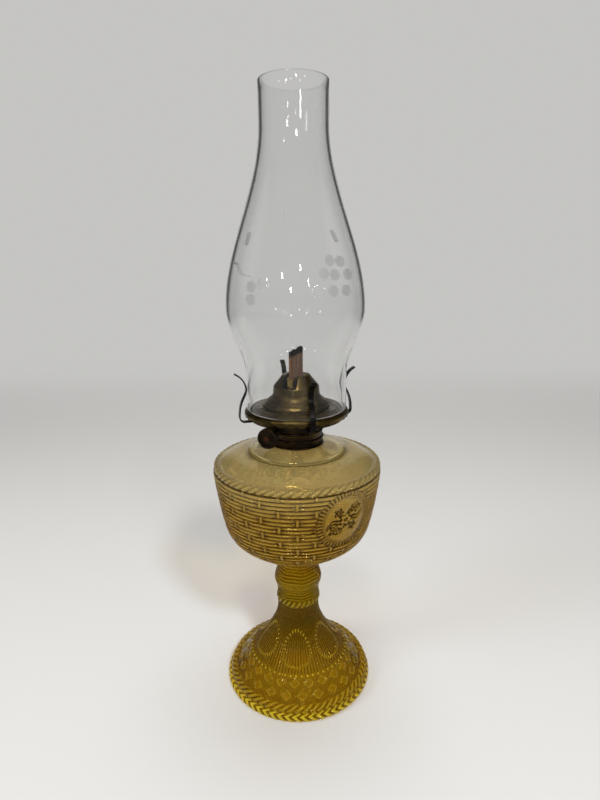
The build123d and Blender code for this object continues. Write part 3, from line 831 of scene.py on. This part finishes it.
def pedestal_outline():
    """Outline from the top of the hollow down, round the foot and up the stem."""
    line = Outline()
    hollow_radius = foot_radius - FOOT_RING_WIDTH
    lower = (foot_radius - FOOT_ROPE / 2, FOOT_ROPE / 2)
    upper = (lower[0] - FOOT_ROPE_SETBACK, lower[1] + FOOT_ROPE_PITCH)
    flare = (upper[0] - FOOT_ROPE / 4, upper[1] + FOOT_ROPE / 4)
    knop_end = pedestal_top - STEM_TOP_LENGTH
    knop_start = knop_end - KNOP_LENGTH
    stem_foot = knop_start - STEM_LENGTH
    top = font_foot - JOINT_GAP
    line.add(swing((0, FOOT_HOLLOW), (1, 0), (hollow_radius, 0), (0.6, -0.8), 22))
    line.add(straight((hollow_radius, 0), (lower[0], 0), 3))
    core = FOOT_ROPE / 2 - FOOT_ROPE_RELIEF
    line.add(round_run(lower, core, -80, 62, 14), "lower rope")
    line.add(round_run(upper, core, -30, 110, 14), "upper rope")
    skirt = evenly(swing(flare, (-1, 1.1), (STEM_RADIUS, stem_foot), (0, 1), 200), FOOT_STEP)
    ends = [round(len(skirt) * share) for share in (DIAMONDS_END, BEADS_END, PETALS_END)]
    line.add(skirt[1 : ends[0]], "diamonds")
    line.add(skirt[ends[0] : ends[1]], "beads")
    line.add(skirt[ends[1] : ends[2]], "petals")
    line.add(skirt[ends[2] :: 3], "ribs")
    rope_z = knop_start - STEM_ROPE_DROP
    line.add(straight((STEM_RADIUS, stem_foot), (STEM_RADIUS, rope_z - STEM_ROPE / 2), 4), "ribs")
    reach = STEM_RADIUS + STEM_ROPE_PROUD - STEM_ROPE / 2
    line.add(round_run((reach, rope_z), STEM_ROPE / 2 - STEM_ROPE_RELIEF / 2, -58, 58, 14), "stem rope")
    line.add(straight((STEM_RADIUS, rope_z + STEM_ROPE / 2), (STEM_RADIUS, knop_start), 16), "binding")
    knop = (STEM_RADIUS + KNOP_PROUD, knop_end - KNOP_DROP)
    rise = through([(STEM_RADIUS, knop_start), knop, (STEM_TOP_RADIUS, knop_end)], 24)
    line.add(rise[:17], "binding")
    line.add(rise[17:27], "strokes")
    line.add(rise[27:] + straight((STEM_TOP_RADIUS, knop_end), (STEM_TOP_RADIUS, top), 18), "binding")
    line.add(straight((STEM_TOP_RADIUS, top), (0, top), 3) + [(0, top)])
    return line


def diamond_relief(spot):
    """Two rows of diamonds, each set between those of the other row."""
    row = (spot["radius"] - DIAMOND_REACH) / DIAMOND_SPACING + 0.5
    up = (row.fract() - 0.5) * (2 * DIAMOND_SPACING / DIAMOND_LENGTH)
    turn = (spot["turn"] - DIAMOND_AZIMUTH / 360) * DIAMONDS + row.floor() * 0.5 + 0.5
    across = (turn.fract() - 0.5) * spot["radius"] * (4 * math.pi / DIAMONDS / DIAMOND_WIDTH)
    reach = up.abs() + across.abs()
    return reach.fade(1.0, 0.9) * 0.4 + (reach - 0.85).hump(0.15) * 0.6


def bead_relief(spot):
    """A ring of round beads."""
    across = ((spot["turn"] * FOOT_BEADS).fract() - 0.5) * spot["radius"] * (2 * math.pi / FOOT_BEADS)
    up = spot["along"] * (spot["share"] * 2 - 1) / (spot["share"] * 2 + 0.0001)
    return (across * across + up * up).sqrt().hump(FOOT_BEAD)


def rib_relief(spot):
    """Fine ribs that climb the foot."""
    return (spot["turn"] * (FOOT_RIBS * 2 * math.pi)).sin() * FOOT_RIB_LEVEL + FOOT_RIB_LEVEL


def petal_relief(spot):
    """Round petals outlined with beads, over the ribs."""
    turn = ((spot["turn"] - PETAL_AZIMUTH / 360) * PETALS + 0.5).fract() - 0.5
    angle = turn * (2 * math.pi / PETALS)
    out = (spot["radius"] * angle.cos() - PETAL_REACH) / (PETAL_LENGTH / 2)
    across = spot["radius"] * angle.sin() / (PETAL_WIDTH / 2)
    edge = ((out * out + across * across).sqrt() - 1) * (PETAL_LENGTH / 2)
    dots = (across.math("ARCTAN2", out) * (PETAL_DOTS / 2)).sin() ** 2
    return rib_relief(spot).most(edge.hump(PETAL_LINE) * dots)


def binding_relief(spot):
    """Cord wound round the stem."""
    sway = (spot["turn"] * (2 * math.pi * STEM_STRAND_WAVES)).sin() * STEM_STRAND_SWAY
    return ((spot["height"] / STEM_STRAND + sway) * math.pi).sin().abs()


# Each stretch's pattern, its depth, how dark its painted groove shade and how light its painted crest
# highlight are
pedestal_shape = {
    "lower rope": (rope_lobes(FOOT_ROPE_TWISTS, FOOT_ROPE_SLANT), FOOT_ROPE_RELIEF, 0.8, 1.0),
    "upper rope": (rope_lobes(FOOT_ROPE_TWISTS, -FOOT_ROPE_SLANT), FOOT_ROPE_RELIEF, 0.8, 0.5),
    "diamonds": (diamond_relief, DIAMOND_RELIEF, 0.62, 0.8),
    "beads": (bead_relief, FOOT_BEAD_RELIEF, 0.45, 1.0),
    "petals": (petal_relief, PETAL_RELIEF, 0.8, 1.0),
    "ribs": (rib_relief, PETAL_RELIEF, 0.8, 0.0),
    "stem rope": (rope_lobes(STEM_TWISTS, STEM_ROPE_SLANT), STEM_ROPE_RELIEF, 1.0, 0.5),
    "binding": (binding_relief, STEM_STRAND_RELIEF, 0.6, 0.3),
    "strokes": (rope_lobes(2 * STEM_TWISTS, STEM_STROKE_SLANT), STEM_STROKE_RELIEF, 1.0, 0.4),
}
pedestal_line = pedestal_outline()
pedestal_glass = pressed_glass("pedestal amber glass", PEDESTAL_GLASS, pedestal_line.names, pedestal_shape)
pedestal_piece = turned("pressed_pedestal", pedestal_line, PEDESTAL_SEGMENTS, pedestal_glass, pedestal_shape)
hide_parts("pedestal", "wafer")
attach(pedestal_piece, "stand")


# Font: basketwork bowl with three medallions, rope edge, plain shoulder and neck
def font_outline():
    """Outline from the middle of the base out and up over the shoulder, then down the hollow."""
    line = Outline()
    base = STEM_TOP_RADIUS + FONT_BASE_OVERHANG
    bowl = [(base + (FONT_RADIUS - base) * x, font_foot + BOWL_HEIGHT * y) for x, y in BOWL_SHAPE]
    rope = (FONT_RADIUS + FONT_ROPE_PROUD - FONT_ROPE / 2, font_foot + BOWL_HEIGHT)
    shoulder = (rope[0], rope[1] + FONT_ROPE / 2)
    step = (STEP_RADIUS, shoulder[1] + SHOULDER_RISE)
    crown = (STEP_RADIUS, step[1] + STEP_HEIGHT)
    inner = inset(bowl, FONT_WALL)[1:-1]
    lid = (STEP_RADIUS - FONT_WALL, step[1] - FONT_WALL / 2)
    line.add(straight((0, font_foot), (base, font_foot), 4))
    line.add(evenly(through(bowl, 60), BOWL_STEP)[:-3], "weave")
    core = FONT_ROPE / 2 - FONT_ROPE_RELIEF
    line.add(round_run(rope, core, -42, 60, 11), "rope")
    line.add(round_run(rope, core, 60, 96, 4), "rope edge")
    edge = (shoulder[0] - SHOULDER_INSET[0], shoulder[1] - SHOULDER_INSET[1])
    middle = ((shoulder[0] + step[0]) / 2, (shoulder[1] + step[1]) / 2 + SHOULDER_CROWN)
    line.add(through([edge, middle, step], 5))
    line.add(straight(step, crown, 4), "step")
    line.add(straight(crown, (COLLAR_RADIUS, collar_foot), 4))
    line.add([(COLLAR_RADIUS, collar_foot), (NECK_RADIUS, collar_foot), (NECK_RADIUS, neck_top)])
    mouth = NECK_RADIUS - NECK_WALL
    line.add([(mouth, neck_top), (mouth, crown[1] - FONT_WALL / 2)])
    line.add(swing(lid, (1, -0.28), inner[-1], (-0.12, -1), 12))
    line.add(through(list(reversed(inner)), 5))
    floor = (0, font_foot + FONT_FLOOR)
    line.add(swing(inner[0], (-1, -0.7), floor, (-1, 0), 6) + [floor])
    return line


def basketwork(spot):
    """Strands that dive behind upright ribs, turn and turn about."""
    row = spot["along"] / WEAVE_ROW
    span = ((spot["turn"] * WEAVE_COLUMNS + row.floor()) * 0.5).fract()
    off = ((span - 0.5) * 2).abs()
    strand = (row * (WEAVE_STRANDS * math.pi)).sin().abs() ** 0.8 * (1 - off**5 * 0.9)
    pitch = spot["radius"] * (2 * math.pi / WEAVE_COLUMNS)
    rib = ((1 - off) * pitch).hump(WEAVE_RIB) * (1 - ((row.fract() * 2) - 1).abs() ** 8)
    return strand.most(rib)


def medallion(spot):
    """How far a spot lies inside a medallion, and the medallion's level there."""
    swing_off = ((spot["turn"] - MEDALLION_AZIMUTH / 360) * MEDALLIONS + 0.5).fract() - 0.5
    across = (swing_off * (2 * math.pi / MEDALLIONS)).sin() * spot["radius"]
    up = spot["height"] - (font_foot + BOWL_HEIGHT - MEDALLION_DROP)
    reach = (across * across + up * up).sqrt()
    middle = (MEDALLION_RADIUS + MEDALLION_FIELD) / 2
    teeth = (up.math("ARCTAN2", across) * MEDALLION_TEETH).cos() * 0.4 + 0.6
    border = (reach - middle).hump(MEDALLION_RADIUS - middle) * teeth
    lip = (reach - MEDALLION_FIELD).hump(MEDALLION_LIP) * 0.8
    stem = (up - across * SPRAY_LEAN - (across * SPRAY_WAVES).sin() * SPRAY_SWAY).abs() - SPRAY_SPLIT
    spray = stem.hump(SPRAY_STEM)
    outline = (stem.abs() - SPRAY_STEM_EDGE).hump(SPRAY_STEM_LINE)
    for x, y, width in SPRAY:
        size = width / 1000
        dx = across - x / 1000
        dy = up - y / 1000
        far = (dx * dx + dy * dy).sqrt()
        lobes = (dy.math("ARCTAN2", dx) * FLOWER_PETALS).cos() * FLOWER_NOTCH + (1 - FLOWER_NOTCH)
        shape = far / lobes
        spray = spray.most(shape.hump(size))
        outline = (outline * shape.fade(size - FLOWER_RIM, size)).most((shape - size).hump(FLOWER_LINE))
        outline = outline.most((far - FLOWER_EYE).hump(FLOWER_EYE_LINE))
    kept = reach.fade(*(MEDALLION_FIELD - margin for margin in SPRAY_MARGIN))
    field = spray * kept * (1 - MEDALLION_LEVEL) + MEDALLION_LEVEL - outline * kept * MEDALLION_LEVEL
    inside = reach.fade(*(MEDALLION_RADIUS - margin for margin in MEDALLION_EDGE))
    disc = reach.fade(MEDALLION_FIELD, MEDALLION_FIELD - MEDALLION_SLOPE)
    return inside, border.most(lip).most(field * disc)


def bowl_relief(spot):
    """Basketwork with the medallions let into it."""
    inside, shape = medallion(spot)
    ends = spot["share"].fade(0, 0.03) * spot["share"].fade(1, 0.985)
    return (basketwork(spot) * (1 - inside) + shape * inside) * ends


rope_edge = rope_lobes(FONT_ROPE_TWISTS, FONT_ROPE_EDGE_SLANT, FONT_ROPE_SLANT)
# Each stretch's pattern, its depth, how dark its painted groove shade and how light its painted crest
# highlight are
font_shape = {
    "weave": (bowl_relief, WEAVE_RELIEF, 1.1, 0.75),
    "rope": (rope_lobes(FONT_ROPE_TWISTS, FONT_ROPE_SLANT), FONT_ROPE_RELIEF, 0.5, 0.4),
    # The rope's inner edge gets stronger painted shade, for dark dashes between its strands
    "rope edge": (rope_edge, FONT_ROPE_RELIEF, 1.0, 0.0),
    # The step has no relief: only painted shade over its lower part, where the corner looks dark
    "step": (lambda spot: spot["share"].fade(0.2, 0.8), 0.0, 0.9, 0.0),
}
font_line = font_outline()
font_glass = pressed_glass("font amber glass", FONT_GLASS, font_line.names, font_shape)
font_piece = turned("pressed_font", font_line, FONT_SEGMENTS, font_glass, font_shape)
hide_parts("font")
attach(font_piece, "stand")


# Chimney: thin blown glass
def chimney_outline():
    """Outline up the outside from the foot, over the rim and down the inside."""
    line = Outline()
    fitter = chimney_foot + FITTER_HEIGHT
    bulge = chimney_foot + BULGE_HEIGHT
    neck = chimney_top - CHIMNEY_TOP_LENGTH
    edge = CHIMNEY_WALL / 2
    sides = []
    for wall in (0, CHIMNEY_WALL):
        low = FITTER_RADIUS - wall
        wide = bulge_radius - wall
        high = CHIMNEY_TOP_RADIUS - wall
        side = straight((low, chimney_foot + edge), (low, fitter), 4)
        side += swing((low, fitter), (0, 1), (wide, bulge), (0, 1), 22)
        side += swing((wide, bulge), (0, 1), (high, neck), (0, 1), 34)
        side += straight((high, neck), (high, chimney_top - edge), 4)
        sides.append(side)
    outer, inner = sides
    line.add(outer)
    line.add(round_run((CHIMNEY_TOP_RADIUS - edge, chimney_top - edge), edge, 0, 180, 8))
    line.add([(CHIMNEY_TOP_RADIUS - CHIMNEY_WALL, chimney_top - edge)] + list(reversed(inner)))
    line.add(round_run((FITTER_RADIUS - edge, chimney_foot + edge), edge, 180, 360, 8)[1:] + [outer[0]])
    return line


def etched_glass():
    """Thin clear glass with grapes, leaves and a vine ground matt into it."""
    finish, tree, shader = material("etched chimney glass")
    make_clear(shader, 0.0)
    finish_glass(tree, shader.outputs["BSDF"], CHIMNEY_SHADOW, CHIMNEY_TINT, CHIMNEY_DENSITY)
    spot = surface_spot(tree)
    turn = (spot["turn"] - ETCHING_AZIMUTH / 360 + 0.5).fract() - 0.5
    across = turn * (2 * math.pi * ETCHING_RADIUS * 1000)
    up = (spot["height"] - ETCHING_HEIGHT) * 1000
    start, end = VINE_ENDS
    vine = up - VINE_TOP + (across - start) * VINE_SLOPE - (across * VINE_WAVES).sin() * VINE_SWAY
    ground = vine.abs().fade(0.5, 0.2) * 0.7
    ground = ground * across.fade(start, start + 2) * across.fade(end, end - 3)
    for x, y in GRAPES + VINE_GRAPES:
        dx = across - x
        dy = up - y
        ground = ground.most((dx * dx + dy * dy).sqrt().fade(GRAPE, GRAPE - GRAPE_EDGE) * 0.8)
    for x, y, lean in LEAVES:
        tilt = math.radians(lean)
        dx = across - x
        dy = up - y
        wide = (dx * math.cos(tilt) - dy * math.sin(tilt)) / LEAF[0]
        tall = (dx * math.sin(tilt) + dy * math.cos(tilt)) / LEAF[1]
        ground = ground.most((wide * wide + tall * tall).sqrt().fade(1, 0.85))
    feed(tree, ground * ETCHING_ROUGHNESS, shader.inputs["Roughness"])
    tree.links.new(blend_colours(tree, ground, (1.0, 1.0, 1.0), ETCHING_WHITE), shader.inputs["Base Color"])
    add_bump(tree, shader, ground * -ETCHING_DEPTH + noise(tree, 40, 2.0) * CHIMNEY_RIPPLE, 1.0)
    return finish


chimney_piece = turned("blown_chimney", chimney_outline(), CHIMNEY_SEGMENTS, etched_glass())
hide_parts("chimney")
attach(chimney_piece, "chimney_shell")


# Wick: two layers of cotton yarns that cross in and out, charred and ragged at the top
def cotton_finish():
    """Brown scorched cotton, black where it has burnt."""
    finish, tree, shader = material("scorched cotton")
    height = surface_spot(tree)["height"]
    fibre = noise(tree, 900, 5.0, (1, 1, 0.06))
    cotton = blend_colours(tree, fibre.fade(0.3, 0.7), COTTON_DARK, COTTON_LIGHT)
    edge = height + noise(tree, 420, 3.0) * CHAR_UNEVEN
    char = edge.fade(*(wick_top - depth for depth in CHAR_DEPTHS))
    tree.links.new(blend_colours(tree, char, cotton, CHAR), shader.inputs["Base Color"])
    shader.inputs["Roughness"].default_value = 0.95
    feed(tree, (1 - char) * 0.25, shader.inputs["Sheen Weight"])
    feed(tree, (1 - char) * 0.3, shader.inputs["Specular IOR Level"])
    add_bump(tree, shader, fibre, FIBRE_DEPTH)
    return finish


def woven_wick():
    """Yarns side by side in two layers, each swaying in and out between its neighbours."""
    piece = new_object("woven_wick", bpy.data.meshes.new("woven_wick"))
    tree, start, finish = node_tree(
        "wick weaving",
        (
            ("Yarns", "NodeSocketInt"),
            ("Width", "NodeSocketFloat"),
            ("Yarn Radius", "NodeSocketFloat"),
            ("Ragged", "NodeSocketFloat"),
            ("Finish", "NodeSocketMaterial"),
        ),
    )
    link = tree.links.new
    yarn = tree.nodes.new("GeometryNodeCurvePrimitiveLine")
    yarn.inputs["Start"].default_value = (0, 0, wick_foot)
    yarn.inputs["End"].default_value = (0, 0, wick_top)
    fine = tree.nodes.new("GeometryNodeResampleCurve")
    fine.inputs["Count"].default_value = WICK_POINTS
    link(yarn.outputs["Curve"], fine.inputs["Curve"])
    copies = tree.nodes.new("GeometryNodeDuplicateElements")
    copies.domain = "SPLINE"
    link(fine.outputs["Curve"], copies.inputs["Geometry"])
    yarns = Field(tree, start.outputs["Yarns"])
    link((yarns * 2).socket, copies.inputs["Amount"])
    number = Field(tree, copies.outputs["Duplicate Index"])
    column = (number * 0.5 + 0.25).floor()
    side = (number - column * 2) * 2 - 1
    chance = tree.nodes.new("FunctionNodeRandomValue")
    chance.inputs["Seed"].default_value = WICK_SEED
    link(number.socket, chance.inputs["ID"])
    luck = Field(tree, chance.outputs[1])
    share = Field(tree, tree.nodes.new("GeometryNodeSplineParameter").outputs["Factor"])
    height = wick_foot + share * (wick_top - wick_foot - luck * Field(tree, start.outputs["Ragged"]))
    pitch = Field(tree, start.outputs["Width"]) / yarns
    sway = ((height / WICK_BITE + column * 0.5) * (2 * math.pi)).sin()
    across = side * WICK_LAYER + sway * WICK_SWAY
    along = (column + 0.5 - yarns / 2) * pitch + (luck - 0.5) * (share**WICK_FRAY_POWER) * WICK_FRAY
    turn = math.radians(WICK_AZIMUTH)
    where = tree.nodes.new("ShaderNodeCombineXYZ")
    feed(tree, along * math.sin(turn) + across * math.cos(turn), where.inputs["X"])
    feed(tree, across * math.sin(turn) - along * math.cos(turn), where.inputs["Y"])
    feed(tree, height, where.inputs["Z"])
    move = tree.nodes.new("GeometryNodeSetPosition")
    link(copies.outputs["Geometry"], move.inputs["Geometry"])
    link(where.outputs[0], move.inputs["Position"])
    ring = tree.nodes.new("GeometryNodeCurvePrimitiveCircle")
    ring.inputs["Resolution"].default_value = 8
    link(start.outputs["Yarn Radius"], ring.inputs["Radius"])
    sweep = tree.nodes.new("GeometryNodeCurveToMesh")
    sweep.inputs["Fill Caps"].default_value = True
    link(move.outputs["Geometry"], sweep.inputs["Curve"])
    link(ring.outputs["Curve"], sweep.inputs["Profile Curve"])
    dress_and_end(tree, sweep.outputs["Mesh"], start, finish)
    return settle(
        piece,
        tree,
        **{
            "Yarns": WICK_YARNS,
            "Width": WICK_WIDTH,
            "Yarn Radius": WICK_YARN,
            "Ragged": WICK_RAGGED,
            "Finish": cotton_finish(),
        },
    )


wick_piece = woven_wick()
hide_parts("wick")
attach(wick_piece, "wick_strip")

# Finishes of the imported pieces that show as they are
finishes = {
    "aged_brass": aged_brass,
    "bright_brass": bright_brass,
    "dark_bronze": dark_bronze,
    "black_steel": black_steel,
    "plaster": plaster,
}
for part in record["subparts"]:
    if part["material_slot"] in finishes:
        piece = nodes[part["node"]]
        piece.data.materials.clear()
        piece.data.materials.append(finishes[part["material_slot"]])
nodes["spindle"].data.materials[0] = red_bronze


# Stage: a pale floor that sweeps up into a backdrop, soft lamps and the camera
def paper_finish():
    """Pale paper that takes shadows on the floor and stays evenly pale behind the object, with painted shade
    as seen in reflections and through glass: dimmer towards the backdrop's sides and on the floor in front.
    """
    finish, tree, shader = material("pale studio paper")
    shader.inputs["Roughness"].default_value = 0.9
    path = tree.nodes.new("ShaderNodeLightPath")
    seen = Field(tree, path.outputs["Is Camera Ray"]).most(Field(tree, path.outputs["Is Glossy Ray"]))
    seen = seen.most(Field(tree, path.outputs["Is Transmission Ray"]))
    where = tree.nodes.new("ShaderNodeTexCoord")
    parts = tree.nodes.new("ShaderNodeSeparateXYZ")
    tree.links.new(where.outputs["Object"], parts.inputs[0])
    mirrored = 1 - Field(tree, path.outputs["Is Camera Ray"])
    # Painted shade: in reflections the backdrop grows dim towards its sides
    side = Field(tree, parts.outputs["X"]).abs().fade(*GLOW_DIM_SIDES) * mirrored
    glow = tree.nodes.new("ShaderNodeEmission")
    tree.links.new(blend_colours(tree, side, GLOW, GLOW_DIM), glow.inputs["Color"])
    depth = Field(tree, parts.outputs["Y"])
    # Painted shade: in reflections the floor in front is dimmed
    near = depth.fade(*PAPER_DIM_DEPTHS) * Field(tree, path.outputs["Is Glossy Ray"]) * PAPER_DIM_SHARE
    tree.links.new(blend_colours(tree, near, PAPER, PAPER_DIM), shader.inputs["Base Color"])
    behind = seen * depth.fade(*GLOW_DEPTHS)
    paper = mix_shaders(tree, behind, shader.outputs["BSDF"], glow.outputs["Emission"])
    tree.links.new(paper, tree.nodes["Material Output"].inputs["Surface"])
    return finish


def sweep_stage():
    """Floor and backdrop in one curved sheet."""
    wall = STAGE_BEND + STAGE_BEND_RADIUS
    profile = straight((STAGE_FRONT, 0), (STAGE_BEND, 0), 2)
    profile += round_run((STAGE_BEND, STAGE_BEND_RADIUS), STAGE_BEND_RADIUS, -90, 0, 16)
    profile += [(wall, STAGE_BEND_RADIUS), (wall, STAGE_HEIGHT)]
    verts = [(x, y, z) for y, z in profile for x in (-STAGE_HALF_WIDTH, STAGE_HALF_WIDTH)]
    faces = [(i, i + 1, i + 3, i + 2) for i in range(0, len(verts) - 2, 2)]
    mesh = bpy.data.meshes.new("backdrop")
    mesh.from_pydata(verts, [], faces)
    mesh.polygons.foreach_set("use_smooth", [True] * len(faces))
    mesh.materials.append(paper_finish())
    new_object("backdrop", mesh)


def studio_light(name, place, size, power, mirrored):
    """A soft light that looks at the middle of the object, and may be kept out of reflections."""
    light = bpy.data.lights.new(name, "AREA")
    light.shape = "RECTANGLE"
    light.size, light.size_y = size
    light.energy = power
    holder = bpy.data.objects.new(name, light)
    holder.location = place
    holder.rotation_euler = (Vector(LIGHTS_AIM) - Vector(place)).to_track_quat("-Z", "Y").to_euler()
    holder.visible_glossy = mirrored
    holder.visible_transmission = mirrored
    bpy.context.scene.collection.objects.link(holder)


sweep_stage()
for light in LIGHTS:
    studio_light(*light)
for place in GLINTS:
    studio_light("glint", place, GLINT_SIZE, GLINT_POWER, True)

world = bpy.data.worlds.new("studio")
bpy.context.scene.world = world
world.use_nodes = True
backlight = world.node_tree.nodes["Background"]
backlight.inputs["Color"].default_value = (WORLD_GREY, WORLD_GREY, WORLD_GREY, 1)
backlight.inputs["Strength"].default_value = WORLD_STRENGTH

camera = bpy.data.cameras.new("camera")
camera.lens = CAMERA_LENS
camera.clip_start = 0.01
holder = bpy.data.objects.new("camera", camera)
turn_camera = (
    Matrix.Rotation(math.radians(CAMERA_YAW), 4, "Z")
    @ Matrix.Rotation(math.radians(90 - CAMERA_PITCH), 4, "X")
    @ Matrix.Rotation(math.radians(CAMERA_ROLL), 4, "Z")
)
holder.matrix_world = Matrix.Translation(CAMERA_PLACE) @ turn_camera
bpy.context.scene.collection.objects.link(holder)
bpy.context.scene.camera = holder
bpy.context.scene.view_settings.view_transform = "Standard"

# Light may bounce often inside the thick glass
bpy.context.scene.cycles.max_bounces = LIGHT_BOUNCES
bpy.context.scene.cycles.transmission_bounces = LIGHT_BOUNCES
bpy.context.scene.cycles.glossy_bounces = LIGHT_BOUNCES
